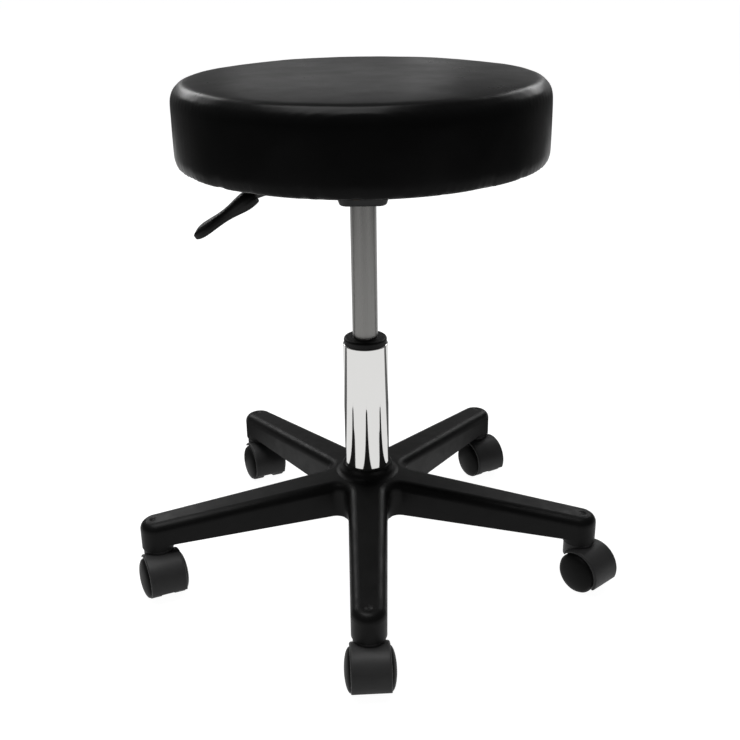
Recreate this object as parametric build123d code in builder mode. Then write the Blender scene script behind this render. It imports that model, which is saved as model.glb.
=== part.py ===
from build123d import *
from math import atan2, cos, hypot, radians, sin, tan
import os

# Height-adjustable round stool. Millimetres, +Z up, origin on the floor under the swivel axis.
# The gas lift is drawn at the top of its stroke.

os.makedirs("parts", exist_ok=True)

# ---- driving dimensions ----------------------------------------------------------------

# Seat
SEAT_R = 190.0
SEAT_BOTTOM = 463.0
SEAT_TOP = 548.0
COVER_T = 1.0
TOP_ROUND = (14.0, 26.0)  # radial and vertical half-axes of the upper edge's roundness
LOW_ROUND = (10.0, 17.0)  # the same for the lower edge
HEM_R = 150.0  # inner radius of the cover's hem under the board
BOARD_R = 177.0
BOARD_T = 12.0
CLOTH_T = 0.6
CLOTH_R = 168.0
CLOTH_HOLE_R = 45.0
STAPLE_COUNT = 24
STAPLE_R = 161.0

# Seat plate and its fasteners
PLATE_SIZE = 155.0
PLATE_T = 2.5
PAN_BOTTOM = 420.0
PAN_WIDTH = 49.0
PAN_DRAFT = 17.0  # degrees
BOLT_PITCH = 120.0
BOLT_R = 3.0
SOCKET_R = 18.0

# Gas lift
CYLINDER_R = 14.0
CYLINDER_WALL = 1.5
TAPER_START = 422.0
CYLINDER_TOP = 445.0
TAPER_ANGLE = 1.5  # degrees
STROKE = 120.0
STROKE_SPARE = 3.0  # left above the buffer at the bottom of the stroke
BUFFER_TOP = 68.0
ROD_R = 5.0
PIN_R = 3.0  # valve button
RUNNING = 0.05  # radial clearance of a running fit
SEATED = 0.02  # radial clearance of a seated fit

# Column
COLUMN_R = 25.0
COLUMN_WALL = 1.5
COLUMN_TOP = 262.0
COLUMN_FOOT = 44.0
COLUMN_TAPER = 1.0  # degrees, inside the hub
BUSH_LENGTH = 76.0
BUSH_CAP = 7.0

# Lever
LEVER_R = 4.0
PIVOT_X = -24.0
PIVOT_R = 2.5
LEVER_Z = 453.5
PADDLE_ROOT = (-113.5, 428.0)
PADDLE_TIP = (-177.5, 386.0)

# Base
LEGS = 5
FIRST_LEG = -90.0  # azimuth of the leg that points to -Y
CASTER_PITCH_R = 246.0
TIP_R = 17.8
TIP_TOP = 86.5
LEG_ROOT_TOP = 104.5
BOSS_BOTTOM = 53.5
HUB_R = 33.0
HUB_TOP = 116.0
HUB_BOTTOM = 51.0
LEG_ROOT_W = 46.5
LEG_WALL = 4.0
TOP_WALL = 4.5
RIB_T = 2.6

# Casters, each in its own frame: swivel axis at x = 0, wheels trailing towards +X
WHEEL_R = 23.0
TRAIL = 14.0
WHEEL_INNER = 6.8
WHEEL_RIM = 19.6
WHEEL_FACE = 25.8
AXLE_R = 3.0
HOOD_GAP = 1.2
HOOD_T = 2.6
HOOD_HALF_W = 20.0
WEB_HALF_T = 6.2
STEM_R = 4.0
GRIP_R = 5.5
TRAIL_AZIMUTHS = (-87.0, -48.0, -60.0, -66.0, -66.0)  # one for each leg, counted from the front

# ---- derived dimensions ----------------------------------------------------------------

board_bottom = SEAT_BOTTOM + COVER_T
board_top = board_bottom + BOARD_T
plate_top = board_bottom - CLOTH_T
plate_bottom = plate_top - PLATE_T
pan_height = plate_bottom - PAN_BOTTOM
pan_slope = tan(radians(PAN_DRAFT))
mouth_width = PAN_WIDTH + 2 * pan_height * pan_slope
taper_slope = tan(radians(TAPER_ANGLE))
cylinder_top_r = CYLINDER_R - (CYLINDER_TOP - TAPER_START) * taper_slope
cylinder_bore_r = CYLINDER_R - CYLINDER_WALL
cylinder_foot = BUFFER_TOP + STROKE_SPARE + STROKE
column_bore_r = COLUMN_R - COLUMN_WALL
leg_angles = [FIRST_LEG + 360.0 / LEGS * k for k in range(LEGS)]
leg_slope = (LEG_ROOT_TOP - TIP_TOP) / (CASTER_PITCH_R - HUB_R)
hood_r = WHEEL_R + HOOD_GAP + HOOD_T


def save(piece, name):
    """Label a finished piece and write it under its own name."""
    piece.part.label = name
    export_step(piece.part, f"parts/{name}.step")


def column_r(height):
    """Outer radius of the column, which tapers below the top of the hub."""
    return COLUMN_R - max(0, HUB_TOP - height) * tan(radians(COLUMN_TAPER))


def tube_profile(inner_r, outer_r, low, high):
    """A rectangular ring section, drawn in the XZ plane of the open sketch."""
    with Locations(((inner_r + outer_r) / 2, (low + high) / 2)):
        Rectangle(outer_r - inner_r, high - low)


# ---- seat ------------------------------------------------------------------------------


def cushion_outline(inset):
    """Closed half section of the cushion, drawn inwards by inset."""
    side = SEAT_R - inset
    low, high = SEAT_BOTTOM + inset, SEAT_TOP - inset
    low_a, low_b = (half_axis - inset for half_axis in LOW_ROUND)
    top_a, top_b = (half_axis - inset for half_axis in TOP_ROUND)
    Line((0, low), (side - low_a, low))
    EllipticalCenterArc((side - low_a, low + low_b), low_a, low_b, -90, arc_size=90)
    Line((side, low + low_b), (side, high - top_b))
    EllipticalCenterArc((side - top_a, high - top_b), top_a, top_b, 0, arc_size=90)
    Polyline((side - top_a, high), (0, high), (0, low))


with BuildPart() as seat_cover:
    with BuildSketch(Plane.XZ):
        with BuildLine():
            cushion_outline(0)
        make_face()
    revolve(axis=Axis.Z)
    with BuildSketch(Plane.XZ):
        with BuildLine():
            cushion_outline(COVER_T)
        make_face()
    revolve(axis=Axis.Z, mode=Mode.SUBTRACT)
    with BuildSketch(Plane.XY.offset(SEAT_BOTTOM)):
        Circle(HEM_R)
    extrude(amount=COVER_T, mode=Mode.SUBTRACT)
save(seat_cover, "seat_cover")

with BuildPart() as seat_foam:
    with BuildSketch(Plane.XZ):
        with BuildLine():
            cushion_outline(COVER_T)
        make_face()
    revolve(axis=Axis.Z)
    with BuildSketch(Plane.XY.offset(board_bottom)):
        Circle(BOARD_R)
    extrude(amount=BOARD_T, mode=Mode.SUBTRACT)
save(seat_foam, "seat_foam")

NUT_FLANGE_R = 9.5
NUT_FLANGE_T = 1.2
NUT_BARREL_R = 4.2
NUT_BARREL_L = 9.0

with BuildPart() as seat_board:
    with BuildSketch(Plane.XY.offset(board_bottom)):
        Circle(BOARD_R)
    extrude(amount=BOARD_T)
    with Locations(Plane.XY.offset(board_top)):
        with GridLocations(BOLT_PITCH, BOLT_PITCH, 2, 2):
            CounterBoreHole(NUT_BARREL_R, NUT_FLANGE_R, NUT_FLANGE_T)
save(seat_board, "seat_board")

with BuildPart() as seat_tee_nuts:
    with BuildSketch(Plane.XY.offset(board_top)):
        with GridLocations(BOLT_PITCH, BOLT_PITCH, 2, 2):
            Circle(NUT_FLANGE_R)
            Circle(BOLT_R, mode=Mode.SUBTRACT)
    extrude(amount=-NUT_FLANGE_T)
    with BuildSketch(Plane.XY.offset(board_top - NUT_FLANGE_T)):
        with GridLocations(BOLT_PITCH, BOLT_PITCH, 2, 2):
            Circle(NUT_BARREL_R)
            Circle(BOLT_R, mode=Mode.SUBTRACT)
    extrude(amount=-NUT_BARREL_L)
save(seat_tee_nuts, "seat_tee_nuts")

WASHER_R = 7.0
WASHER_T = 1.4
HEAD_FLATS = 10.0
HEAD_H = 4.0

with BuildPart() as seat_washers:
    with BuildSketch(Plane.XY.offset(plate_bottom)):
        with GridLocations(BOLT_PITCH, BOLT_PITCH, 2, 2):
            Circle(WASHER_R)
            Circle(BOLT_R, mode=Mode.SUBTRACT)
    extrude(amount=-WASHER_T)
save(seat_washers, "seat_washers")

with BuildPart() as seat_bolts:
    with BuildSketch(Plane.XY.offset(plate_bottom - WASHER_T)):
        with GridLocations(BOLT_PITCH, BOLT_PITCH, 2, 2):
            RegularPolygon(HEAD_FLATS / 2, 6, major_radius=False)
    extrude(amount=-HEAD_H)
    chamfer(seat_bolts.faces().sort_by(Axis.Z)[:4].edges(), 0.5)
    with BuildSketch(Plane.XY.offset(plate_bottom - WASHER_T)):
        with GridLocations(BOLT_PITCH, BOLT_PITCH, 2, 2):
            Circle(BOLT_R)
    extrude(amount=board_top - 1.0 - plate_bottom + WASHER_T)
save(seat_bolts, "seat_bolts")

with BuildPart() as dust_cover:
    with BuildSketch(Plane.XZ):
        with BuildLine():
            Polyline(
                (CLOTH_HOLE_R, board_bottom),
                (HEM_R - CLOTH_T, board_bottom),
                (HEM_R - CLOTH_T, SEAT_BOTTOM),
                (HEM_R, SEAT_BOTTOM),
                (CLOTH_R, SEAT_BOTTOM),
                (CLOTH_R, SEAT_BOTTOM - CLOTH_T),
                (HEM_R - 2 * CLOTH_T, SEAT_BOTTOM - CLOTH_T),
                (HEM_R - 2 * CLOTH_T, board_bottom - CLOTH_T),
                (CLOTH_HOLE_R, board_bottom - CLOTH_T),
                close=True,
            )
        make_face()
    revolve(axis=Axis.Z)
    with Locations(Plane.XY.offset(board_bottom)):
        with GridLocations(BOLT_PITCH, BOLT_PITCH, 2, 2):
            Hole(BOLT_R + 0.5)
save(dust_cover, "dust_cover")

STAPLE_CROWN = 10.0
STAPLE_WIRE = 0.9
STAPLE_LEG = 7.0

with BuildPart() as cover_staples:
    with PolarLocations(STAPLE_R, STAPLE_COUNT, start_angle=7.5):
        crown_z = SEAT_BOTTOM - CLOTH_T - STAPLE_WIRE
        with Locations((0, 0, crown_z)):
            Box(STAPLE_WIRE, STAPLE_CROWN, STAPLE_WIRE, align=(Align.CENTER, Align.CENTER, Align.MIN))
        for end in (-1, 1):
            with Locations((0, end * (STAPLE_CROWN - STAPLE_WIRE) / 2, crown_z)):
                Box(STAPLE_WIRE, STAPLE_WIRE, STAPLE_LEG, align=(Align.CENTER, Align.CENTER, Align.MIN))
save(cover_staples, "cover_staples")

# ---- seat plate and lever --------------------------------------------------------------

slot_half = LEVER_R + 1.5
SLOT_DROP = 3.0
SLOT_HEIGHT = 18.0
SLOT_REACH = 24.0

with BuildPart() as mount_plate:
    with BuildSketch(Plane.XY.offset(plate_bottom)):
        RectangleRounded(PLATE_SIZE, PLATE_SIZE, 14)
    extrude(amount=PLATE_T)
    with BuildSketch(Plane.XY.offset(PAN_BOTTOM)):
        RectangleRounded(PAN_WIDTH, PAN_WIDTH, 9)
    extrude(amount=plate_bottom - PAN_BOTTOM, taper=-PAN_DRAFT)
    fillet(mount_plate.faces().sort_by(Axis.Z)[0].edges(), 3)
    with BuildSketch(Plane.XY.offset(PAN_BOTTOM + PLATE_T)):
        RectangleRounded(PAN_WIDTH - PLATE_T, PAN_WIDTH - PLATE_T, 8)
    extrude(amount=plate_top - PAN_BOTTOM - PLATE_T, taper=-PAN_DRAFT, mode=Mode.SUBTRACT)
    with Locations(Plane.XY.offset(plate_top)):
        with GridLocations(BOLT_PITCH, BOLT_PITCH, 2, 2):
            Hole(BOLT_R + 0.4)
    with Locations((0, 0, PAN_BOTTOM)):
        Cylinder(SOCKET_R, 4 * PLATE_T, mode=Mode.SUBTRACT)
    with Locations((PIVOT_X, 0, LEVER_Z)):
        Cylinder(PIVOT_R, PLATE_SIZE, rotation=(90, 0, 0), mode=Mode.SUBTRACT)
    with Locations((-mouth_width / 2 + 3, 0, LEVER_Z - SLOT_DROP)):
        Box(SLOT_REACH, 2 * slot_half, SLOT_HEIGHT, mode=Mode.SUBTRACT)
save(mount_plate, "mount_plate")

with BuildPart() as taper_socket:
    with BuildSketch(Plane.XZ):
        with BuildLine():
            Polyline(
                (CYLINDER_R + SEATED, PAN_BOTTOM),
                (SOCKET_R, PAN_BOTTOM),
                (SOCKET_R, CYLINDER_TOP - 1),
                (cylinder_top_r + SEATED + taper_slope, CYLINDER_TOP - 1),
                (CYLINDER_R + SEATED, TAPER_START),
                close=True,
            )
        make_face()
    revolve(axis=Axis.Z)
save(taper_socket, "taper_socket")

pivot_half = PAN_WIDTH / 2 + (LEVER_Z - PAN_BOTTOM) * pan_slope + 2.0

with BuildPart() as lever_pivot_pin:
    with BuildSketch(Plane.XZ):
        with Locations((PIVOT_X, LEVER_Z)):
            Circle(PIVOT_R)
    extrude(amount=pivot_half, both=True)
    chamfer(lever_pivot_pin.edges().filter_by(GeomType.CIRCLE), 0.5)
save(lever_pivot_pin, "lever_pivot_pin")

ROD_IN_PADDLE = 26.0
ROD_BEND_R = 20.0
ROD_NOSE_X = 6.0  # inner end of the lever, over the valve button
paddle_angle = atan2(PADDLE_ROOT[1] - PADDLE_TIP[1], PADDLE_ROOT[0] - PADDLE_TIP[0])
rod_end = (
    PADDLE_ROOT[0] - ROD_IN_PADDLE * cos(paddle_angle),
    PADDLE_ROOT[1] - ROD_IN_PADDLE * sin(paddle_angle),
)

with BuildPart() as lever_rod:
    with BuildLine(Plane.XZ) as rod_route:
        FilletPolyline(
            (ROD_NOSE_X, LEVER_Z),
            (PIVOT_X - 2 * LEVER_R, LEVER_Z),
            PADDLE_ROOT,
            rod_end,
            radius=ROD_BEND_R,
        )
    with BuildSketch(Plane.YZ.offset(ROD_NOSE_X)):
        with Locations((0, LEVER_Z)):
            Circle(LEVER_R)
    sweep(path=rod_route.wires()[0])
    with Locations((PIVOT_X, 0, LEVER_Z)):
        Cylinder(PIVOT_R + RUNNING, 4 * LEVER_R, rotation=(90, 0, 0), mode=Mode.SUBTRACT)
save(lever_rod, "lever_rod")

paddle_length = hypot(PADDLE_ROOT[0] - PADDLE_TIP[0], PADDLE_ROOT[1] - PADDLE_TIP[1])
# Along the paddle: distance from the root, rise, width and thickness of its rounded section
PADDLE_SECTIONS = (
    (0.0, 0.0, 17.0, 16.0),
    (0.35 * paddle_length, 0.0, 19.0, 14.0),
    (0.7 * paddle_length, 0.0, 21.0, 11.5),
    (paddle_length - 3.0, -0.3, 20.0, 8.6),
    (paddle_length, -0.6, 15.0, 5.6),
)

with BuildPart() as lever_handle:
    for distance, rise, width, thickness in PADDLE_SECTIONS:
        section = Plane(
            origin=(
                PADDLE_ROOT[0] - distance * cos(paddle_angle),
                0,
                PADDLE_ROOT[1] - distance * sin(paddle_angle) + rise,
            ),
            x_dir=(0, 1, 0),
            z_dir=(-cos(paddle_angle), 0, -sin(paddle_angle)),
        )
        with BuildSketch(section):
            RectangleRounded(width, thickness, 0.42 * thickness)
    loft()
    add(lever_rod.part, mode=Mode.SUBTRACT)
save(lever_handle, "lever_handle")

# ---- gas lift --------------------------------------------------------------------------

LIP_T = 1.5
VALVE_FOOT = 426.0
GUIDE_H = 15.0
PISTON_H = 13.0
guide_low = cylinder_foot + LIP_T
guide_top = guide_low + GUIDE_H
bore_taper_r = cylinder_bore_r - (CYLINDER_TOP - LIP_T - TAPER_START) * taper_slope

with BuildPart() as gas_cylinder:
    with BuildSketch(Plane.XZ):
        with BuildLine():
            Polyline(
                (ROD_R + LIP_T, cylinder_foot),
                (CYLINDER_R, cylinder_foot),
                (CYLINDER_R, TAPER_START),
                (cylinder_top_r, CYLINDER_TOP),
                (PIN_R + LIP_T, CYLINDER_TOP),
                (PIN_R + LIP_T, CYLINDER_TOP - LIP_T),
                (bore_taper_r, CYLINDER_TOP - LIP_T),
                (cylinder_bore_r, TAPER_START),
                (cylinder_bore_r, guide_low),
                (ROD_R + LIP_T, guide_low),
                close=True,
            )
        make_face()
    revolve(axis=Axis.Z)
save(gas_cylinder, "gas_cylinder")

PIN_TOP = LEVER_Z - LEVER_R - 0.3
PIN_LENGTH = 20.0

with BuildPart() as valve_body:
    with BuildSketch(Plane.XZ):
        tube_profile(PIN_R + RUNNING, bore_taper_r, VALVE_FOOT, CYLINDER_TOP - LIP_T)
    revolve(axis=Axis.Z)
save(valve_body, "valve_body")

with BuildPart() as release_pin:
    with BuildSketch(Plane.XY.offset(PIN_TOP)):
        Circle(PIN_R)
    extrude(amount=-PIN_LENGTH)
    chamfer(release_pin.edges().group_by(Axis.Z)[-1], 0.6)
save(release_pin, "release_pin")

with BuildPart() as rod_guide:
    with BuildSketch(Plane.XZ):
        tube_profile(ROD_R + RUNNING, cylinder_bore_r, guide_low, guide_top)
    revolve(axis=Axis.Z)
save(rod_guide, "rod_guide")

RACE_T = 1.5
RACE_OUTER_R = 13.0
BALL_R = 2.2
BALL_GAP = 0.05
BALL_COUNT = 10
BALL_PITCH_R = 9.5
CAGE_INNER_R = 5.5
CAGE_OUTER_R = 12.5
CAGE_T = 1.4
STEP_R = 4.0  # radius of the rod below its shoulder
FOOT_T = 2.5
race_low = COLUMN_FOOT + FOOT_T
ball_z = race_low + RACE_T + BALL_GAP + BALL_R
race_high = ball_z + BALL_R + BALL_GAP
shoulder_z = race_high + RACE_T
piston_low = guide_top + 0.5
piston_top = piston_low + PISTON_H

with BuildPart() as piston:
    with BuildSketch(Plane.XZ):
        tube_profile(ROD_R, cylinder_bore_r - RUNNING, piston_low, piston_top)
    revolve(axis=Axis.Z)
save(piston, "piston")

ROD_FOOT = 39.5
CLIP_TOP = COLUMN_FOOT - 0.3
CLIP_T = 1.5
CLIP_R = 9.0
CLIP_MOUTH = 5.4
CLIP_GROOVE = 1.0

with BuildPart() as piston_rod:
    with BuildSketch(Plane.XY.offset(shoulder_z)):
        Circle(ROD_R)
    extrude(amount=piston_top + 1.0 - shoulder_z)
    with BuildSketch(Plane.XY.offset(ROD_FOOT)):
        Circle(STEP_R)
    extrude(amount=shoulder_z - ROD_FOOT)
    with BuildSketch(Plane.XZ):
        tube_profile(STEP_R - CLIP_GROOVE, STEP_R + 1.0, CLIP_TOP - CLIP_T, CLIP_TOP)
    revolve(axis=Axis.Z, mode=Mode.SUBTRACT)
    chamfer(piston_rod.edges().group_by(Axis.Z)[0], 0.8)
save(piston_rod, "piston_rod")

with BuildPart() as rod_clip:
    with BuildSketch(Plane.XY.offset(CLIP_TOP - CLIP_T)):
        Circle(CLIP_R)
        Circle(STEP_R - CLIP_GROOVE, mode=Mode.SUBTRACT)
        with Locations((CLIP_R, 0)):
            Rectangle(2 * CLIP_R, CLIP_MOUTH, mode=Mode.SUBTRACT)
    extrude(amount=CLIP_T)
save(rod_clip, "rod_clip")

BUFFER_R = 11.0

with BuildPart() as rubber_buffer:
    with BuildSketch(Plane.XZ):
        tube_profile(ROD_R, BUFFER_R, shoulder_z, BUFFER_TOP)
    revolve(axis=Axis.Z)
    chamfer(rubber_buffer.edges().group_by(Axis.Z)[-1].sort_by(SortBy.LENGTH)[-1], 1.5)
save(rubber_buffer, "rubber_buffer")

with BuildPart() as bearing_upper_race:
    with BuildSketch(Plane.XZ):
        tube_profile(STEP_R, RACE_OUTER_R, race_high, race_high + RACE_T)
    revolve(axis=Axis.Z)
save(bearing_upper_race, "bearing_upper_race")

with BuildPart() as bearing_lower_race:
    with BuildSketch(Plane.XZ):
        tube_profile(STEP_R + 1.0, RACE_OUTER_R, race_low, race_low + RACE_T)
    revolve(axis=Axis.Z)
save(bearing_lower_race, "bearing_lower_race")

with BuildPart() as thrust_bearing:
    with BuildSketch(Plane.XZ):
        tube_profile(CAGE_INNER_R, CAGE_OUTER_R, ball_z - CAGE_T / 2, ball_z + CAGE_T / 2)
    revolve(axis=Axis.Z)
    with Locations((0, 0, ball_z)):
        with PolarLocations(BALL_PITCH_R, BALL_COUNT):
            Sphere(BALL_R)
save(thrust_bearing, "thrust_bearing")

# ---- column ----------------------------------------------------------------------------

with BuildPart() as outer_column:
    with BuildSketch(Plane.XZ):
        with BuildLine():
            Polyline(
                (STEP_R + 1.0, COLUMN_FOOT),
                (column_r(COLUMN_FOOT), COLUMN_FOOT),
                (COLUMN_R, HUB_TOP),
                (COLUMN_R, COLUMN_TOP),
                (column_bore_r, COLUMN_TOP),
                (column_bore_r, HUB_TOP),
                (column_r(COLUMN_FOOT) - COLUMN_WALL, race_low),
                (STEP_R + 1.0, race_low),
                close=True,
            )
        make_face()
    revolve(axis=Axis.Z)
    fillet(outer_column.edges().group_by(Axis.Z)[-1].sort_by(SortBy.LENGTH)[-1], 1.2)
save(outer_column, "outer_column")

with BuildPart() as column_bush:
    with BuildSketch(Plane.XZ):
        tube_profile(CYLINDER_R + RUNNING, column_bore_r, COLUMN_TOP - BUSH_LENGTH, COLUMN_TOP)
        tube_profile(CYLINDER_R + RUNNING, column_bore_r + 0.3, COLUMN_TOP, COLUMN_TOP + BUSH_CAP)
    revolve(axis=Axis.Z)
    fillet(column_bush.edges().group_by(Axis.Z)[-1].sort_by(SortBy.LENGTH)[-1], 2.5)
save(column_bush, "column_bush")

# ---- base ------------------------------------------------------------------------------

CROTCH_R = 14.0
SHOULDER_R = 10.0
UNDERSIDE_ROOT = 63.5
UNDERSIDE_TIP = 60.0
RING_R = 28.5
RING_H = 26.0
RIB_PITCH = 38.0
COLLAR_R = 28.5
COLLAR_EDGE_R = 1.5
FLARE_R = 9.0  # concave round between the collar and the tops of the legs
RIB_COUNT = 4
FIRST_RIB = 75.0
SOCKET_DEPTH = 27.0


flare_foot = LEG_ROOT_TOP - (COLLAR_R + FLARE_R - HUB_R) * leg_slope


def leg_plan(inset):
    """Plan of one leg along +X, drawn inwards by inset."""
    root, tip = LEG_ROOT_W / 2 - inset, TIP_R - inset
    with BuildSketch() as leg:
        with BuildLine():
            Polyline((CASTER_PITCH_R, tip), (0, root), (0, -root), (CASTER_PITCH_R, -tip))
            ThreePointArc((CASTER_PITCH_R, -tip), (CASTER_PITCH_R + tip, 0), (CASTER_PITCH_R, tip))
        make_face()
    return leg.sketch


def star_plan(inset, crotch_r):
    """Plan of hub and legs, with the inward corners between the legs rounded."""
    with BuildSketch() as star:
        Circle(HUB_R - inset)
        with PolarLocations(0, LEGS, start_angle=FIRST_LEG):
            add(leg_plan(inset))
        fillet([v for v in star.vertices() if v.center().length < 2 * HUB_R], crotch_r)
    return star.sketch


def star_section(drop, hub_low):
    """Half section through hub and leg as a closed outline, its top lowered by drop."""
    reach = CASTER_PITCH_R + TIP_R
    Polyline(
        (0, hub_low),
        (HUB_R, hub_low),
        (HUB_R, UNDERSIDE_ROOT - 8),
        (HUB_R + 10, UNDERSIDE_ROOT),
        (reach, UNDERSIDE_TIP),
        (reach, TIP_TOP - TIP_R * leg_slope - drop),
        (HUB_R, LEG_ROOT_TOP - drop),
        (0, LEG_ROOT_TOP - drop),
        close=True,
    )


def is_top_cone(face):
    """True for the sloping upper face of the legs."""
    return face.geom_type == GeomType.CONE and face.normal_at(face.center()).Z > 0.5


with BuildPart() as star_cells:
    with BuildSketch(Plane.XY.offset(HUB_BOTTOM)):
        add(star_plan(LEG_WALL, CROTCH_R + LEG_WALL))
    extrude(amount=HUB_TOP - HUB_BOTTOM)
    with BuildSketch(Plane.XZ):
        with BuildLine():
            Polyline(
                (HUB_R + 1, HUB_BOTTOM),
                (CASTER_PITCH_R, HUB_BOTTOM),
                (CASTER_PITCH_R, TIP_TOP - TOP_WALL),
                (HUB_R + 1, LEG_ROOT_TOP - TOP_WALL),
                close=True,
            )
        make_face()
    revolve(axis=Axis.Z, mode=Mode.INTERSECT)
    with PolarLocations(CASTER_PITCH_R, LEGS, start_angle=FIRST_LEG):
        Cylinder(TIP_R, 3 * HUB_TOP, mode=Mode.SUBTRACT)
    with PolarLocations(0, LEGS, start_angle=FIRST_LEG):
        with Locations((CASTER_PITCH_R / 2, 0, HUB_TOP / 2)):
            Box(CASTER_PITCH_R, RIB_T, 2 * HUB_TOP, mode=Mode.SUBTRACT)
        for rib in range(RIB_COUNT):
            with Locations((FIRST_RIB + rib * RIB_PITCH, 0, HUB_TOP / 2)):
                Box(RIB_T, LEG_ROOT_W, 2 * HUB_TOP, mode=Mode.SUBTRACT)

with BuildPart() as base_star:
    with BuildSketch():
        add(star_plan(0, CROTCH_R))
    extrude(amount=HUB_TOP)
    with BuildSketch(Plane.XZ):
        with BuildLine():
            star_section(0, HUB_BOTTOM)
        make_face()
    revolve(axis=Axis.Z, mode=Mode.INTERSECT)
    top_edges = [e for f in base_star.faces().filter_by(is_top_cone) for e in f.edges()]
    fillet([e for e in top_edges if Vector(e.center().X, e.center().Y).length > HUB_R + 2], SHOULDER_R)
    add(star_cells.part, mode=Mode.SUBTRACT)
    with PolarLocations(CASTER_PITCH_R, LEGS, start_angle=FIRST_LEG):
        with Locations((0, 0, BOSS_BOTTOM)):
            Cylinder(
                TIP_R,
                UNDERSIDE_TIP + 8 - BOSS_BOTTOM,
                align=(Align.CENTER, Align.CENTER, Align.MIN),
            )
    with BuildSketch(Plane.XZ):
        with BuildLine():
            Polyline(
                (COLLAR_R, flare_foot + FLARE_R),
                (COLLAR_R, HUB_TOP - COLLAR_EDGE_R),
                (COLLAR_R - COLLAR_EDGE_R, HUB_TOP),
                (COLUMN_R - 1, HUB_TOP),
                (COLUMN_R - 1, flare_foot - 2),
                (COLLAR_R + FLARE_R, flare_foot - 2),
                (COLLAR_R + FLARE_R, flare_foot),
            )
            CenterArc((COLLAR_R + FLARE_R, flare_foot + FLARE_R), FLARE_R, 180, 90)
        make_face()
    revolve(axis=Axis.Z)
    with BuildSketch(Plane.XZ):
        with BuildLine():
            Polyline(
                (0, HUB_BOTTOM - 1),
                (column_r(HUB_BOTTOM - 1) + SEATED, HUB_BOTTOM - 1),
                (COLUMN_R + SEATED, HUB_TOP),
                (0, HUB_TOP),
                close=True,
            )
        make_face()
    revolve(axis=Axis.Z, mode=Mode.SUBTRACT)
    with BuildSketch(Plane.XY.offset(HUB_BOTTOM)):
        Circle(RING_R)
    extrude(amount=RING_H, mode=Mode.SUBTRACT)
    with PolarLocations(CASTER_PITCH_R, LEGS, start_angle=FIRST_LEG):
        with Locations((0, 0, BOSS_BOTTOM)):
            Cylinder(
                GRIP_R,
                SOCKET_DEPTH,
                align=(Align.CENTER, Align.CENTER, Align.MIN),
                mode=Mode.SUBTRACT,
            )
save(base_star, "base_star")

with BuildPart() as hub_ring:
    with BuildSketch(Plane.XZ):
        with BuildLine():
            Polyline(
                (column_r(HUB_BOTTOM) + SEATED, HUB_BOTTOM),
                (RING_R, HUB_BOTTOM),
                (RING_R, HUB_BOTTOM + RING_H),
                (column_r(HUB_BOTTOM + RING_H) + SEATED, HUB_BOTTOM + RING_H),
                close=True,
            )
        make_face()
    revolve(axis=Axis.Z)
save(hub_ring, "hub_ring")

# ---- casters ---------------------------------------------------------------------------

STEM_LOW = 32.0
HOOD_TOP = BOSS_BOTTOM - 0.5
HOOD_BACK = -26.0  # degrees round the axle, from the trailing side
HOOD_FRONT = 130.0
HOOD_EDGE_R = 2.2
HOOD_NECK_R = 16.3
STEM_HOUSING_R = 9.0
NECK_FOOT = 36.0
WEB_DISC_R = 17.0
AXLE_HALF = 21.5
WHEEL_HUB_R = 7.0
WHEEL_WEB = 16.0
RIM_T = 4.0
TREAD_EDGE = 0.9
GRIP_SLIT = 1.2

with BuildPart() as caster_stems:
    with BuildSketch(Plane.XY.offset(STEM_LOW)):
        with PolarLocations(CASTER_PITCH_R, LEGS, start_angle=FIRST_LEG):
            Circle(STEM_R)
    extrude(amount=BOSS_BOTTOM + SOCKET_DEPTH - 1 - STEM_LOW)
    chamfer(caster_stems.edges().group_by(Axis.Z)[0], 0.6)
save(caster_stems, "caster_stems")

with BuildPart() as grip_rings:
    with BuildSketch(Plane.XY.offset(BOSS_BOTTOM)):
        with PolarLocations(CASTER_PITCH_R, LEGS, start_angle=FIRST_LEG):
            Circle(GRIP_R)
            Circle(STEM_R, mode=Mode.SUBTRACT)
            with Locations((GRIP_R, 0)):
                Rectangle(2 * GRIP_R, GRIP_SLIT, mode=Mode.SUBTRACT)
    extrude(amount=SOCKET_DEPTH - 4)
save(grip_rings, "grip_rings")


def caster_plane(leg_angle, trail_angle):
    """Frame of one caster: origin on the floor under its swivel axis, X along its trail."""
    pitch = radians(leg_angle)
    trail = radians(trail_angle)
    return Plane(
        origin=(CASTER_PITCH_R * cos(pitch), CASTER_PITCH_R * sin(pitch), 0),
        x_dir=(cos(trail), sin(trail), 0),
        z_dir=(0, 0, 1),
    )


def place(master, name, plane):
    """Write a copy of a caster piece, set on its caster's plane."""
    with BuildPart(plane) as piece:
        add(master.part)
    save(piece, name)


with BuildPart() as hood_neck:
    with Locations((0, 0, NECK_FOOT)):
        Cylinder(HOOD_NECK_R, HOOD_TOP - NECK_FOOT, align=(Align.CENTER, Align.CENTER, Align.MIN))
    with Locations((TRAIL, 0, WHEEL_R)):
        Cylinder(hood_r - HOOD_T, 2 * WHEEL_FACE, rotation=(90, 0, 0), mode=Mode.SUBTRACT)

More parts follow.
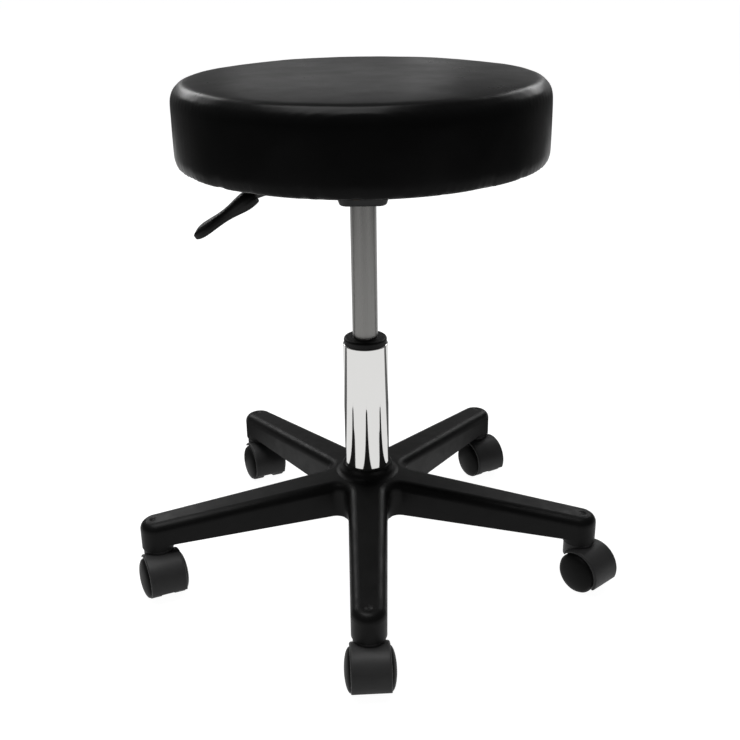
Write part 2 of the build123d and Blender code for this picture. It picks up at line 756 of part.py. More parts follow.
# Hood: fender over both wheels, web between them, and the swivel neck, as one moulding
with BuildPart() as hood:
    with BuildSketch(Plane.XZ):
        with BuildLine():
            outer_arc = CenterArc((TRAIL, WHEEL_R), hood_r, HOOD_BACK, HOOD_FRONT - HOOD_BACK)
            inner_arc = CenterArc((TRAIL, WHEEL_R), hood_r - HOOD_T, HOOD_BACK, HOOD_FRONT - HOOD_BACK)
            Line(outer_arc @ 0, inner_arc @ 0)
            Line(outer_arc @ 1, inner_arc @ 1)
        make_face()
    extrude(amount=HOOD_HALF_W, both=True)
    fillet(hood.faces().sort_by(SortBy.AREA)[-1].edges(), HOOD_EDGE_R)
    with BuildSketch(Plane.XZ):
        with BuildLine():
            web_arc = CenterArc((TRAIL, WHEEL_R), hood_r - HOOD_T / 2, HOOD_BACK, HOOD_FRONT - HOOD_BACK)
            Polyline(web_arc @ 1, (TRAIL, WHEEL_R), web_arc @ 0)
        make_face()
        with Locations((TRAIL, WHEEL_R)):
            Circle(WEB_DISC_R)
        with Locations((0, (STEM_LOW - 2 + HOOD_TOP) / 2)):
            Rectangle(2 * STEM_HOUSING_R, HOOD_TOP - STEM_LOW + 2)
    extrude(amount=WEB_HALF_T, both=True)
    add(hood_neck.part)
    fillet(hood.edges().filter_by(GeomType.CIRCLE).sort_by(Axis.Z)[-1], 1.0)
    with Locations((0, 0, STEM_LOW - 0.5)):
        Cylinder(
            STEM_R + RUNNING,
            HOOD_TOP,
            align=(Align.CENTER, Align.CENTER, Align.MIN),
            mode=Mode.SUBTRACT,
        )
    with Locations((TRAIL, 0, WHEEL_R)):
        Cylinder(AXLE_R, 4 * WEB_HALF_T, rotation=(90, 0, 0), mode=Mode.SUBTRACT)

with BuildPart() as axle:
    with BuildSketch(Plane.XZ):
        with Locations((TRAIL, WHEEL_R)):
            Circle(AXLE_R)
    extrude(amount=AXLE_HALF, both=True)
    chamfer(axle.edges().filter_by(GeomType.CIRCLE), 0.5)


# Wheel with a domed outer face, hollow behind its web
with BuildPart() as wheel_a:
    with BuildSketch(Plane.YZ.offset(TRAIL)):
        with BuildLine():
            Polyline(
                (WHEEL_FACE, WHEEL_R),
                (AXLE_HALF + 0.5, WHEEL_R),
                (AXLE_HALF + 0.5, WHEEL_R + AXLE_R + RUNNING),
                (WHEEL_INNER, WHEEL_R + AXLE_R + RUNNING),
                (WHEEL_INNER, WHEEL_R + WHEEL_HUB_R),
                (WHEEL_WEB, WHEEL_R + WHEEL_HUB_R),
                (WHEEL_WEB, 2 * WHEEL_R - RIM_T),
                (WHEEL_INNER, 2 * WHEEL_R - RIM_T),
                (WHEEL_INNER, 2 * WHEEL_R - TREAD_EDGE),
                (WHEEL_INNER + TREAD_EDGE, 2 * WHEEL_R),
                (WHEEL_RIM - TREAD_EDGE, 2 * WHEEL_R),
                (WHEEL_RIM, 2 * WHEEL_R - TREAD_EDGE),
            )
            EllipticalCenterArc(
                (WHEEL_RIM, WHEEL_R), WHEEL_FACE - WHEEL_RIM, WHEEL_R - TREAD_EDGE, 0, arc_size=90
            )
        make_face()
    revolve(axis=Axis((TRAIL, 0, WHEEL_R), (0, 1, 0)))

with BuildPart() as wheel_b:
    mirror(wheel_a.part, about=Plane.XZ)

for number, (leg_angle, trail_angle) in enumerate(zip(leg_angles, TRAIL_AZIMUTHS), start=1):
    setting = caster_plane(leg_angle, trail_angle)
    place(hood, f"hood_{number}", setting)
    place(axle, f"axle_{number}", setting)
    place(wheel_a, f"wheel_{number}_a", setting)
    place(wheel_b, f"wheel_{number}_b", setting)
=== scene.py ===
"""Pedicure stool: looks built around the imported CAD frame. Metres, +Z up."""

import math

import bmesh
import bpy
import numpy as np
from mathutils import Matrix, Vector, noise


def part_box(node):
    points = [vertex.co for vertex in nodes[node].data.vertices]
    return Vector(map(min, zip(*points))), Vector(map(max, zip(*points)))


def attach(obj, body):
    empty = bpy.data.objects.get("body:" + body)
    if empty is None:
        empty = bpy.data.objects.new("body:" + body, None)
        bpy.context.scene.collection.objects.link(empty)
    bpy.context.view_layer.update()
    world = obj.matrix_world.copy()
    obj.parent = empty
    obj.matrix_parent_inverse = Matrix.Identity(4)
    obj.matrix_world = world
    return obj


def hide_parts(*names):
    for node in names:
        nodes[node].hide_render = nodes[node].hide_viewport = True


TAU = 2 * math.pi

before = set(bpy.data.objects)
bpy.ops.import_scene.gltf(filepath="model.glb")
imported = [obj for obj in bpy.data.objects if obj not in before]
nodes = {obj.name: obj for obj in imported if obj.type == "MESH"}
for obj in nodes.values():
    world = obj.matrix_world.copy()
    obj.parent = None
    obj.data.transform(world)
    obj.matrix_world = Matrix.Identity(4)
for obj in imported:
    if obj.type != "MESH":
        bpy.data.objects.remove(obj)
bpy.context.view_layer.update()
scene = bpy.context.scene


def span(node):
    """Lowest and highest corner of a CAD node."""
    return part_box(node)


MARK_AT, MARK_Z, MARK_R = 0.249, 0.0862, 0.0042  # ejector marks on the legs

# ---- materials ---------------------------------------------------------------------------


class Shader:
    """A Principled material whose nodes are added one by one."""

    def __init__(self, name, color, roughness, metallic=0.0, **sockets):
        self.material = bpy.data.materials.new(name)
        self.material.use_nodes = True
        self.tree = self.material.node_tree
        self.principled = self.tree.nodes["Principled BSDF"]
        self.set("Base Color", (*color, 1.0))
        self.set("Roughness", roughness)
        self.set("Metallic", metallic)
        for socket, value in sockets.items():
            self.set(socket.replace("_", " "), value)
        self.color = color
        self.roughness = roughness
        self.coords = self.tree.nodes.new("ShaderNodeTexCoord").outputs["Object"]
        self.normal = None

    def set(self, socket, value):
        self.principled.inputs[socket].default_value = value

    def link(self, a, b):
        self.tree.links.new(a, b)

    def node(self, kind, **values):
        made = self.tree.nodes.new("ShaderNode" + kind)
        for key, value in values.items():
            if key in made.inputs:
                made.inputs[key].default_value = value
            else:
                setattr(made, key, value)
        return made

    def scaled(self, scale):
        """Object coordinates times a scale for each axis."""
        mapping = self.node("Mapping", vector_type="POINT")
        mapping.inputs["Scale"].default_value = scale
        self.link(self.coords, mapping.inputs["Vector"])
        return mapping.outputs["Vector"]

    def noise(self, scale, detail=3.0, roughness=0.5, stretch=(1, 1, 1)):
        made = self.node("TexNoise", Scale=scale, Detail=detail, Roughness=roughness)
        self.link(self.scaled(stretch), made.inputs["Vector"])
        return made.outputs["Fac"]

    def cells(self, scale, feature="F1", smooth=0.0):
        made = self.tree.nodes.new("ShaderNodeTexVoronoi")
        made.feature = feature
        made.inputs["Scale"].default_value = scale
        if feature == "SMOOTH_F1":
            made.inputs["Smoothness"].default_value = smooth
        self.link(self.coords, made.inputs["Vector"])
        return made.outputs["Distance"]

    def ranged(self, value, low, high, start=0.0, end=1.0):
        made = self.node("MapRange")
        made.inputs["From Min"].default_value = start
        made.inputs["From Max"].default_value = end
        made.inputs["To Min"].default_value = low
        made.inputs["To Max"].default_value = high
        self.link(value, made.inputs["Value"])
        return made.outputs["Result"]

    def bump(self, height, distance, strength=1.0):
        """Lays one more layer of relief over those before it. Distance is in metres."""
        made = self.node("Bump")
        made.inputs["Strength"].default_value = strength
        made.inputs["Distance"].default_value = distance
        self.link(height, made.inputs["Height"])
        if self.normal is not None:
            self.link(self.normal, made.inputs["Normal"])
        self.normal = made.outputs["Normal"]
        self.link(self.normal, self.principled.inputs["Normal"])
        return self

    def vary_roughness(self, value, low, high, start=0.3, end=0.7):
        self.link(self.ranged(value, low, high, start, end), self.principled.inputs["Roughness"])
        return self

    def vary_color(self, value, low, high, start=0.3, end=0.7):
        """Base colour runs from low to high as value goes from start to end."""
        ramp = self.node("ValToRGB")
        ramp.color_ramp.elements[0].position = start
        ramp.color_ramp.elements[0].color = (*low, 1.0)
        ramp.color_ramp.elements[1].position = end
        ramp.color_ramp.elements[1].color = (*high, 1.0)
        self.link(value, ramp.inputs["Fac"])
        self.link(ramp.outputs["Color"], self.principled.inputs["Base Color"])
        return self


def grey(value, tint=(1.0, 1.0, 1.0)):
    return tuple(value * t for t in tint)


def make_vinyl():
    """Smooth upholstery vinyl: fine pebbled grain, faint creases, satin."""
    s = Shader("vinyl", grey(0.004), 0.42, Specular_IOR_Level=0.1)
    s.vary_color(s.noise(9, 4, 0.6), grey(0.0032), grey(0.0052, (1.0, 1.0, 1.03)))
    s.vary_roughness(s.noise(26, 5, 0.6), 0.27, 0.33)
    s.bump(s.cells(950, "SMOOTH_F1", 0.6), 0.00004, 0.35)
    s.bump(s.noise(2600, 2), 0.00002, 0.25)
    s.bump(s.noise(34, 4, 0.55), 0.0003, 0.06)
    return s.material


def plastic(name, value, roughness, grain=1500, relief=0.00003, specular=0.4, tint=(1, 1, 1)):
    """Moulded plastic with a spark-eroded grain, faint flow marks and rubbed patches."""
    s = Shader(name, grey(value, tint), roughness, Specular_IOR_Level=specular)
    s.vary_color(s.noise(22, 5, 0.6), grey(value * 0.86, tint), grey(value * 1.16, tint))
    s.vary_roughness(s.noise(48, 4, 0.6), roughness - 0.05, roughness + 0.07)
    s.bump(s.cells(grain, "SMOOTH_F1", 0.4), relief, 0.4)
    s.bump(s.noise(grain * 1.7, 2), relief * 0.6, 0.3)
    s.bump(s.noise(60, 3), 0.0002, 0.06)
    return s


def make_plastic(*args, **options):
    return plastic(*args, **options).material


def make_base():
    """Nylon of the base, with a round ejector mark dished into the top of every leg."""
    s = plastic("base_nylon", 0.0052, 0.42, specular=0.16)
    nearest = None
    for leg in range(5):
        a = math.radians(72 * leg - 90)
        away = s.node("VectorMath", operation="DISTANCE")
        away.inputs[1].default_value = (MARK_AT * math.cos(a), MARK_AT * math.sin(a), MARK_Z)
        s.link(s.coords, away.inputs[0])
        if nearest is None:
            nearest = away.outputs["Value"]
        else:
            least = s.node("Math", operation="MINIMUM")
            s.link(nearest, least.inputs[0])
            s.link(away.outputs["Value"], least.inputs[1])
            nearest = least.outputs[0]
    s.bump(s.ranged(nearest, 0.0, 1.0, 0.0, MARK_R), 0.0012)
    return s.material


def make_chrome():
    """Mirror chrome plate with the faint draw lines and waviness of a polished tube."""
    s = Shader("chrome_plate", grey(0.84, (1.0, 0.995, 0.98)), 0.045, metallic=1.0)
    s.vary_roughness(s.noise(160, 3, 0.5, (1, 1, 0.25)), 0.035, 0.075)
    s.bump(s.noise(14, 2, 0.4, (1, 1, 0.6)), 0.00025, 0.05)
    return s.material


def make_steel(name, value, roughness, stretch=(1, 1, 0.02), grain=700, contrast=0.12, tint=(1, 1, 1)):
    """Ground or drawn steel: fine lines along one direction."""
    s = Shader(name, grey(value, tint), roughness, metallic=1.0)
    lines = s.noise(grain, 3, 0.6, stretch)
    s.vary_color(lines, grey(value * (1 - contrast), tint), grey(value * (1 + contrast), tint))
    s.vary_roughness(lines, roughness - 0.06, roughness + 0.08)
    s.bump(lines, 0.00002, 0.3)
    return s.material


def make_paint(name, value, roughness):
    """Powder coat: a low orange peel."""
    s = Shader(name, grey(value), roughness, Specular_IOR_Level=0.4)
    s.vary_color(s.noise(30, 4), grey(value * 0.85), grey(value * 1.15))
    s.vary_roughness(s.noise(90, 3), roughness - 0.05, roughness + 0.05)
    s.bump(s.noise(900, 2), 0.00006, 0.35)
    return s.material


def make_cloth():
    """Black non-woven dust cloth: bonded fibres in a pressed diamond pattern."""
    s = Shader("dust_cloth", grey(0.012), 0.95, Specular_IOR_Level=0.15, Sheen_Weight=0.2)
    fibres = s.noise(1900, 6, 0.75, (1.0, 0.35, 1.0))
    s.vary_color(fibres, grey(0.007), grey(0.022))
    s.bump(fibres, 0.00012, 0.7)
    s.bump(s.cells(520), 0.00015, 0.5)
    return s.material


def make_wood():
    s = Shader("plywood", (0.42, 0.28, 0.15), 0.7)
    grain = s.noise(130, 5, 0.65, (1, 0.06, 1))
    s.vary_color(grain, (0.3, 0.19, 0.09), (0.52, 0.36, 0.2))
    s.bump(grain, 0.0002, 0.4)
    return s.material


def make_rubber():
    s = Shader("buffer_rubber", grey(0.012), 0.75, Specular_IOR_Level=0.3)
    s.vary_color(s.noise(60, 4), grey(0.009), grey(0.017))
    s.bump(s.noise(1200, 3), 0.00005, 0.4)
    return s.material


VINYL = make_vinyl()
BASE = make_base()
HOOD = make_plastic("hood_plastic", 0.048, 0.46, specular=0.3, tint=(1.0, 1.0, 1.01))
WHEEL = make_plastic("wheel_plastic", 0.006, 0.48, specular=0.1)
BUSH = make_plastic("bush_plastic", 0.004, 0.5, specular=0.3)
HANDLE = make_plastic("handle_plastic", 0.004, 0.45, specular=0.3)
GUIDE = make_plastic("guide_plastic", 0.02, 0.5)
CHROME = make_chrome()
CYLINDER = make_steel("cylinder_steel", 0.26, 0.3, tint=(1.0, 0.99, 0.96))
ZINC = make_steel("zinc_steel", 0.5, 0.38, stretch=(1, 1, 1), grain=420)
RODSTEEL = make_steel("lever_steel", 0.05, 0.42, stretch=(0.05, 1, 1))
BRIGHT = make_steel("bright_steel", 0.6, 0.2, stretch=(1, 1, 6))
ALUMINIUM = make_steel("valve_aluminium", 0.6, 0.35, stretch=(1, 1, 6))
PAINT = make_paint("powder_coat", 0.006, 0.42)
CLOTH = make_cloth()
PLYWOOD = make_wood()
RUBBER = make_rubber()

NODE_MATERIALS = {
    "seat_board": PLYWOOD,
    "seat_tee_nuts": ZINC,
    "seat_washers": ZINC,
    "seat_bolts": ZINC,
    "cover_staples": ZINC,
    "mount_plate": PAINT,
    "taper_socket": PAINT,
    "lever_pivot_pin": ZINC,
    "lever_rod": RODSTEEL,
    "lever_handle": HANDLE,
    "gas_cylinder": CYLINDER,
    "valve_body": ALUMINIUM,
    "release_pin": BRIGHT,
    "rod_guide": GUIDE,
    "piston": GUIDE,
    "piston_rod": BRIGHT,
    "rod_clip": ZINC,
    "rubber_buffer": RUBBER,
    "bearing_upper_race": BRIGHT,
    "bearing_lower_race": BRIGHT,
    "thrust_bearing": BRIGHT,
    "outer_column": CHROME,
    "column_bush": BUSH,
    "base_star": BASE,
    "hub_ring": PAINT,
    "caster_stems": ZINC,
    "grip_rings": ZINC,
}
for k in range(1, 6):
    NODE_MATERIALS[f"hood_{k}"] = HOOD
    NODE_MATERIALS[f"axle_{k}"] = ZINC
    NODE_MATERIALS[f"wheel_{k}_a"] = WHEEL
    NODE_MATERIALS[f"wheel_{k}_b"] = WHEEL


def dress(obj, material):
    obj.data.materials.clear()
    obj.data.materials.append(material)


for name, material in NODE_MATERIALS.items():
    dress(nodes[name], material)


# ---- mesh helpers ------------------------------------------------------------------------


def new_object(name, verts, faces, material, smooth=True):
    mesh = bpy.data.meshes.new(name)
    mesh.from_pydata([tuple(v) for v in verts], [], faces)
    mesh.update()
    if smooth:
        mesh.polygons.foreach_set("use_smooth", [True] * len(mesh.polygons))
    obj = bpy.data.objects.new(name, mesh)
    scene.collection.objects.link(obj)
    dress(obj, material)
    return obj


def lathe(profile, segments):
    """Vertices and faces of a closed or open profile of (radius, z) turned about Z."""
    verts, faces, rings = [], [], []
    for r, z in profile:
        if r < 1e-6:
            rings.append([len(verts)])
            verts.append((0.0, 0.0, z))
        else:
            rings.append(list(range(len(verts), len(verts) + segments)))
            for i in range(segments):
                a = TAU * i / segments
                verts.append((r * math.cos(a), r * math.sin(a), z))
    for low, high in zip(rings, rings[1:]):
        for i in range(segments):
            j = (i + 1) % segments
            if len(low) == 1:
                faces.append((low[0], high[j], high[i]))
            elif len(high) == 1:
                faces.append((low[i], low[j], high[0]))
            else:
                faces.append((low[i], low[j], high[j], high[i]))
    return verts, faces


def apply_modifiers(obj):
    """Bakes an object's modifiers into its mesh."""
    graph = bpy.context.evaluated_depsgraph_get()
    made = bpy.data.meshes.new_from_object(obj.evaluated_get(graph))
    obj.modifiers.clear()
    old = obj.data
    obj.data = made
    bpy.data.meshes.remove(old)


def points_of(obj):
    out = np.empty(len(obj.data.vertices) * 3, np.float32)
    obj.data.vertices.foreach_get("co", out)
    return out.reshape(-1, 3).astype(float)


def set_points(obj, points):
    obj.data.vertices.foreach_set("co", points.astype(np.float32).ravel())
    obj.data.update()


# ---- seat cushion ------------------------------------------------------------------------

cover_low, cover_high = span("seat_cover")
SEAT_R = cover_high.x
SEAT_FOOT, SEAT_TOP = cover_low.z, cover_high.z
BOARD_LOW, BOARD_HIGH = span("seat_board")
FULL_R = SEAT_R + 0.0012
HEM_R = 0.150
VOXEL = 0.004
PRESSURE = 4.0
SWELL_CAP = 0.003
SWELL_FRAMES = 20
PINNED_R = 0.168  # the underside inside this radius stays put
SMOOTHING = 14  # rounds of averaging of the solver's moves
GATHERS = 46
GATHER_SEED = 11
INSET = 0.0025  # the cushion starts this much smaller and swells
TOP_ROUND = (0.012, 0.018)
LOW_ROUND = (0.004, 0.009)
CROWN = 0.0025
FALL_FROM, FALL = 0.07, 0.004  # the top falls this much from that radius out to the rim


def cushion_profile(steps=14):
    """Half outline of the stuffed cover, from the bottom's centre to the top's."""
    side = SEAT_R - INSET
    low, high = SEAT_FOOT, SEAT_TOP - INSET
    points = [(r, low) for r in np.linspace(0, side - LOW_ROUND[0], 24)]
    for t in np.linspace(-90, 0, steps)[1:]:
        a = math.radians(t)
        r = side - LOW_ROUND[0] * (1 - math.cos(a))
        points.append((r, low + LOW_ROUND[1] * (1 + math.sin(a))))
    for z in np.linspace(low + LOW_ROUND[1], high - TOP_ROUND[1], 9)[1:]:
        points.append((side, z))
    for t in np.linspace(0, 90, steps)[1:]:
        a = math.radians(t)
        r = side - TOP_ROUND[0] * (1 - math.cos(a))
        points.append((r, high - TOP_ROUND[1] * (1 - math.sin(a))))
    points += [(r, high) for r in np.linspace(side - TOP_ROUND[0], 0, 28)[1:]]
    return points


def averaged(obj, values, rounds):
    """Each point's value mixed with its neighbours' a number of times."""
    edges = np.empty(len(obj.data.edges) * 2, np.int32)
    obj.data.edges.foreach_get("vertices", edges)
    a, b = edges.reshape(-1, 2).T
    count = np.bincount(edges, minlength=len(values)).astype(float)[:, None]
    for _ in range(rounds):
        total = np.zeros_like(values)
        np.add.at(total, a, values[b])
        np.add.at(total, b, values[a])
        values = 0.5 * values + 0.5 * total / count
    return values


def swell(obj, pinned, pressure, cap):
    """Puffs a closed mesh with the cloth solver and keeps each point's move under cap."""
    start = points_of(obj)
    group = obj.vertex_groups.new(name="pinned")
    group.add([int(i) for i in np.nonzero(pinned(start))[0]], 1.0, "REPLACE")
    cloth = obj.modifiers.new("Cloth", "CLOTH")
    settings = cloth.settings
    settings.quality = 6
    settings.mass = 0.4
    settings.tension_stiffness = 30
    settings.compression_stiffness = 30
    settings.shear_stiffness = 12
    settings.bending_stiffness = 6
    settings.vertex_group_mass = "pinned"
    settings.use_pressure = True
    settings.uniform_pressure_force = pressure
    settings.effector_weights.gravity = 0
    cloth.collision_settings.use_collision = False
    for step in range(1, SWELL_FRAMES + 1):
        scene.frame_set(step)
    graph = bpy.context.evaluated_depsgraph_get()
    moved = points_of(obj.evaluated_get(graph))
    obj.modifiers.clear()
    scene.frame_set(1)
    move = averaged(obj, moved - start, SMOOTHING)
    length = np.linalg.norm(move, axis=1)
    limit = np.where(length > cap, cap / np.maximum(length, 1e-9), 1.0)
    set_points(obj, start + move * limit[:, None])


def subdivide(obj, levels=1):
    sub = obj.modifiers.new("Subdivision", "SUBSURF")
    sub.levels = sub.render_levels = levels
    apply_modifiers(obj)


def remesh(obj, voxel):
    made = obj.modifiers.new("Remesh", "REMESH")
    made.mode = "VOXEL"
    made.voxel_size = voxel
    made.use_smooth_shade = True
    apply_modifiers(obj)


def hem_under_board(obj, rings):
    """Cuts the skin away inside the hem and turns it up round the board as the given rings."""
    mesh = bmesh.new()
    mesh.from_mesh(obj.data)
    inner = [
        f
        for f in mesh.faces
        if all(math.hypot(v.co.x, v.co.y) < HEM_R and v.co.z < SEAT_FOOT + 0.008 for v in f.verts)
    ]
    bmesh.ops.delete(mesh, geom=inner, context="FACES")
    edges = [e for e in mesh.edges if e.is_boundary]
    for v in {v for e in edges for v in e.verts}:
        a = math.atan2(v.co.y, v.co.x)
        v.co = Vector((HEM_R * math.cos(a), HEM_R * math.sin(a), SEAT_FOOT + 0.0001))
    for radius, z in rings:
        made = bmesh.ops.extrude_edge_only(mesh, edges=edges)["geom"]
        for v in (g for g in made if isinstance(g, bmesh.types.BMVert)):
            a = math.atan2(v.co.y, v.co.x)
            v.co = Vector((radius * math.cos(a), radius * math.sin(a), z))
        edges = [g for g in made if isinstance(g, bmesh.types.BMEdge)]
    bmesh.ops.contextual_create(mesh, geom=edges)
    bmesh.ops.recalc_face_normals(mesh, faces=mesh.faces)
    mesh.to_mesh(obj.data)
    mesh.free()
    obj.data.polygons.foreach_set("use_smooth", [True] * len(obj.data.polygons))


def pleats(points):
    """Gathers where the cover is drawn in under the board, fading out up the side."""
    r = np.hypot(points[:, 0], points[:, 1])
    a = np.arctan2(points[:, 1], points[:, 0])
    z = points[:, 2]
    depth = np.zeros(len(points))
    rng = np.random.default_rng(GATHER_SEED)
    for _ in range(GATHERS):
        centre = rng.uniform(-math.pi, math.pi)
        width = rng.uniform(0.012, 0.03)
        size = rng.uniform(0.4, 1.0)
        away = np.angle(np.exp(1j * (a - centre)))
        depth += size * np.exp(-((away / width) ** 2))
    under = np.clip((SEAT_FOOT + 0.016 - z) / 0.016, 0, 1) * np.clip((r - HEM_R) / 0.012, 0, 1)
    depth = np.minimum(depth, 1.0)
    past_board = np.clip((r - BOARD_HIGH.x) / 0.004, 0, 1)
    out = points.copy()
    out[:, 2] += (0.0004 + 0.0008 * past_board) * depth * under ** 1.5
    inwards = 0.0006 * depth * under * past_board
    out[:, 0] -= inwards * np.cos(a)
    out[:, 1] -= inwards * np.sin(a)
    return out


def soften(points):
    """The slow unevenness of foam under vinyl, and the crown of the top."""
    out = points.copy()
    r = np.hypot(points[:, 0], points[:, 1])
    for i, p in enumerate(points):
        if p[2] < SEAT_FOOT + 0.004:
            continue
        wave = noise.noise(Vector(p) * 14.0) * 0.0005 + noise.noise(Vector(p) * 45.0) * 0.00012
        upper = min(1.0, max(0.0, (p[2] - SEAT_TOP + 0.03) / 0.028))
        t = min(1.0, max(0.0, (r[i] - FALL_FROM) / (SEAT_R - FALL_FROM)))
        out[i, 2] += upper * (wave * 0.5 - FALL * t * t)
        out[i, :2] *= 1 + (1 - upper) * wave / max(r[i], 0.05)
    return out


def filled_out(points):
    """Brings the swollen cushion to the cover's full width and height."""
    out = points.copy()
    r = np.hypot(points[:, 0], points[:, 1])
    side = (points[:, 2] > SEAT_FOOT + 0.03) & (points[:, 2] < SEAT_TOP - 0.04)
    width = np.percentile(r[side], 60)
    out[:, :2] *= 1 + (FULL_R / width - 1) * np.clip((r - 0.15) / 0.02, 0, 1)[:, None]
    middle = np.median(points[(r < 0.12) & (points[:, 2] > SEAT_TOP - 0.03), 2])
    share = np.clip((points[:, 2] - SEAT_FOOT) / (middle - SEAT_FOOT), 0, 1)
    out[:, 2] += (SEAT_TOP + CROWN - middle) * share
    return out


def held_underside(points):
    """The part of the underside that the board holds flat while the rest swells."""
    return (points[:, 2] < SEAT_FOOT + 0.002) & (np.hypot(points[:, 0], points[:, 1]) < PINNED_R)


verts, faces = lathe(cushion_profile(), 160)
cushion = new_object("cushion", verts, faces, VINYL)
remesh(cushion, VOXEL)
swell(cushion, held_underside, PRESSURE, SWELL_CAP)
set_points(cushion, filled_out(points_of(cushion)))
subdivide(cushion)
hem_under_board(
    cushion,
    [
        (HEM_R, BOARD_LOW.z - 0.0001),
        (BOARD_HIGH.x + 0.0004, BOARD_LOW.z - 0.0001),
        (BOARD_HIGH.x + 0.0004, BOARD_HIGH.z + 0.0003),
    ],
)
set_points(cushion, soften(pleats(points_of(cushion))))
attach(cushion, "seat")
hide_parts("seat_cover", "seat_foam")

# ---- dust cloth --------------------------------------------------------------------------

CLOTH_R = span("dust_cover")[1].x
CLOTH_HOLE_R = 0.045


def dust_cloth():
    """A disc of cloth stretched under the board, sagging a little between its staples."""
    rings, segments = 34, 192
    verts, faces = [], []
    for i in range(rings):
        r = CLOTH_HOLE_R + (CLOTH_R - CLOTH_HOLE_R) * i / (rings - 1)
        for j in range(segments):
            a = TAU * j / segments
            edge = 1
            if i == rings - 1:
                edge += 0.006 * noise.noise(Vector((3 * math.cos(a), 3 * math.sin(a), 0)))
            p = Vector((r * edge * math.cos(a), r * edge * math.sin(a), 0))
            inside = 1 - min(1, max(0, (r - 0.142) / 0.012))
            ripple = noise.noise(Vector((a * 9, r * 60, 2))) * 0.0004 * (1 - inside)
            z = SEAT_FOOT - 0.0004 + 0.0006 * inside + ripple
            verts.append((p.x, p.y, z))
    for i in range(rings - 1):
        for j in range(segments):
            k = (j + 1) % segments
            low, high = i * segments, (i + 1) * segments
            faces.append((low + j, low + k, high + k, high + j))
    return new_object("dust_cloth", verts, faces, CLOTH)


cloth = dust_cloth()
thick = cloth.modifiers.new("Solidify", "SOLIDIFY")
thick.thickness = 0.0005
thick.offset = 0
apply_modifiers(cloth)
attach(cloth, "seat")
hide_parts("dust_cover")

# ---- stage -------------------------------------------------------------------------------


def emission(name, strength):
    material = bpy.data.materials.new(name)
    material.use_nodes = True
    tree = material.node_tree
    tree.nodes.clear()
    out = tree.nodes.new("ShaderNodeOutputMaterial")
    emit = tree.nodes.new("ShaderNodeEmission")
    emit.inputs["Color"].default_value = (1, 1, 1, 1)
    emit.inputs["Strength"].default_value = strength
    tree.links.new(emit.outputs["Emission"], out.inputs["Surface"])
    return material


def floor():
    """A pale studio floor, lit so evenly that only a trace of shadow shows on it."""
    size = 30.0
    corners = [(-size, -size, 0), (size, -size, 0), (size, size, 0), (-size, size, 0)]
    obj = new_object("floor", corners, [(0, 1, 2, 3)], None, False)
    material = bpy.data.materials.new("floor")
    material.use_nodes = True
    shader = material.node_tree.nodes["Principled BSDF"]
    shader.inputs["Base Color"].default_value = (0.3, 0.3, 0.3, 1)
    shader.inputs["Roughness"].default_value = 0.9
    shader.inputs["Specular IOR Level"].default_value = 0.0
    shader.inputs["Emission Color"].default_value = (1, 1, 1, 1)
    shader.inputs["Emission Strength"].default_value = 0.97
    dress(obj, material)
    obj.visible_glossy = False
    obj.visible_diffuse = False


def glow(name, verts, strength):
    """A lit patch of floor that only mirrors and the object's undersides see."""
    material = emission(name, strength)
    obj = new_object(name, verts, [tuple(range(len(verts)))], material, False)
    obj.visible_camera = False
    obj.visible_diffuse = False
    obj.visible_shadow = False


def patch(x, y0, y1):
    """Corners of a rectangle just under the floor, from -x to x and from y0 to y1."""
    return [(-x, y0, -0.002), (x, y0, -0.002), (x, y1, -0.002), (-x, y1, -0.002)]


def softbox(name, place, target, width, height, radiance):
    """A rectangular panel that faces the target, with the given radiance at its surface."""
    light = bpy.data.lights.new(name, "AREA")
    light.shape = "RECTANGLE"
    light.size, light.size_y = width, height
    light.energy = radiance * math.pi * width * height
    obj = bpy.data.objects.new(name, light)
    scene.collection.objects.link(obj)
    obj.location = place
    aim = Vector(target) - Vector(place)
    obj.rotation_euler = aim.to_track_quat("-Z", "Y").to_euler()


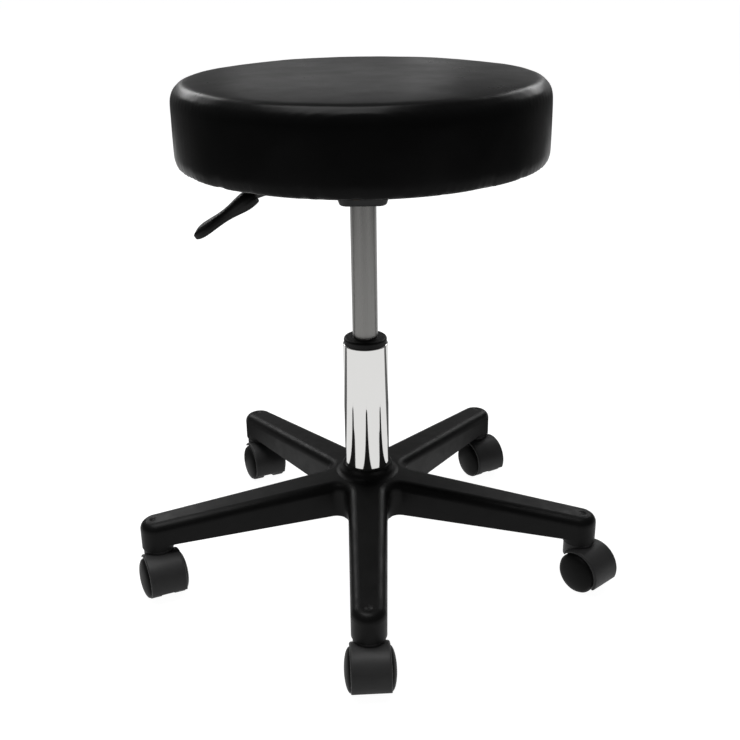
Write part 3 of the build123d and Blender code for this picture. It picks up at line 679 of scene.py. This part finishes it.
def studio_world(level, seen):
    """Soft fill for the object; the camera sees a plain pale backdrop."""
    world = bpy.data.worlds.new("studio")
    scene.world = world
    world.use_nodes = True
    tree = world.node_tree
    tree.nodes.clear()
    out = tree.nodes.new("ShaderNodeOutputWorld")
    mix = tree.nodes.new("ShaderNodeMixShader")
    fill = tree.nodes.new("ShaderNodeBackground")
    back = tree.nodes.new("ShaderNodeBackground")
    path = tree.nodes.new("ShaderNodeLightPath")
    fill.inputs["Color"].default_value = (1, 1, 1, 1)
    fill.inputs["Strength"].default_value = level
    back.inputs["Color"].default_value = (1, 1, 1, 1)
    back.inputs["Strength"].default_value = seen
    tree.links.new(path.outputs["Is Camera Ray"], mix.inputs["Fac"])
    tree.links.new(fill.outputs[0], mix.inputs[1])
    tree.links.new(back.outputs[0], mix.inputs[2])
    tree.links.new(mix.outputs[0], out.inputs["Surface"])


floor()
glow("pool", patch(1.55, -1.7, 0.22), 0.85)
glow("strip", patch(1.5, 0.42, 2.5), 0.85)
studio_world(0.12, 1.0)
softbox("key", (-0.4, -0.05, 2.6), (-0.05, -0.05, 0), 1.7, 1.5, 4.8)
softbox("rim", (-0.08, 2.2, 0.98), (0, 0, 0.55), 0.7, 0.14, 1.05)
softbox("low_left", (-0.85, 2.2, 0.69), (-0.1, 0, 0.55), 1.5, 0.2, 0.13)
softbox("low_right", (0.85, 2.2, 0.69), (0.1, 0, 0.55), 1.5, 0.2, 0.45)
softbox("leg_left", (-1.25, 2.0, 1.4), (-0.2, 0, 0.1), 1.0, 0.5, 6.0)
softbox("leg_right", (1.25, 2.0, 1.4), (0.2, 0, 0.1), 1.0, 0.5, 5.0)

# ---- camera ------------------------------------------------------------------------------

FOCAL_PX = 1080.4
FRAME_PX = 740
SENSOR_MM = 36.0
SHIFT_PX = 6.46
PLACE = (0.0045, -1.1144, 0.6899)
PITCH = 0.3984
ROLL = 0.0148

camera_data = bpy.data.cameras.new("camera")
camera = bpy.data.objects.new("camera", camera_data)
scene.collection.objects.link(camera)
scene.camera = camera
camera_data.sensor_width = SENSOR_MM
camera_data.lens = SENSOR_MM * FOCAL_PX / FRAME_PX
camera_data.shift_y = SHIFT_PX / FRAME_PX
camera.location = PLACE
camera.rotation_euler = (
    Matrix.Rotation(math.pi / 2 - PITCH, 4, "X") @ Matrix.Rotation(-ROLL, 4, "Z")
).to_euler()
camera_data.clip_start = 0.01
camera_data.clip_end = 100.0

scene.view_settings.view_transform = "Standard"
scene.view_settings.look = "None"
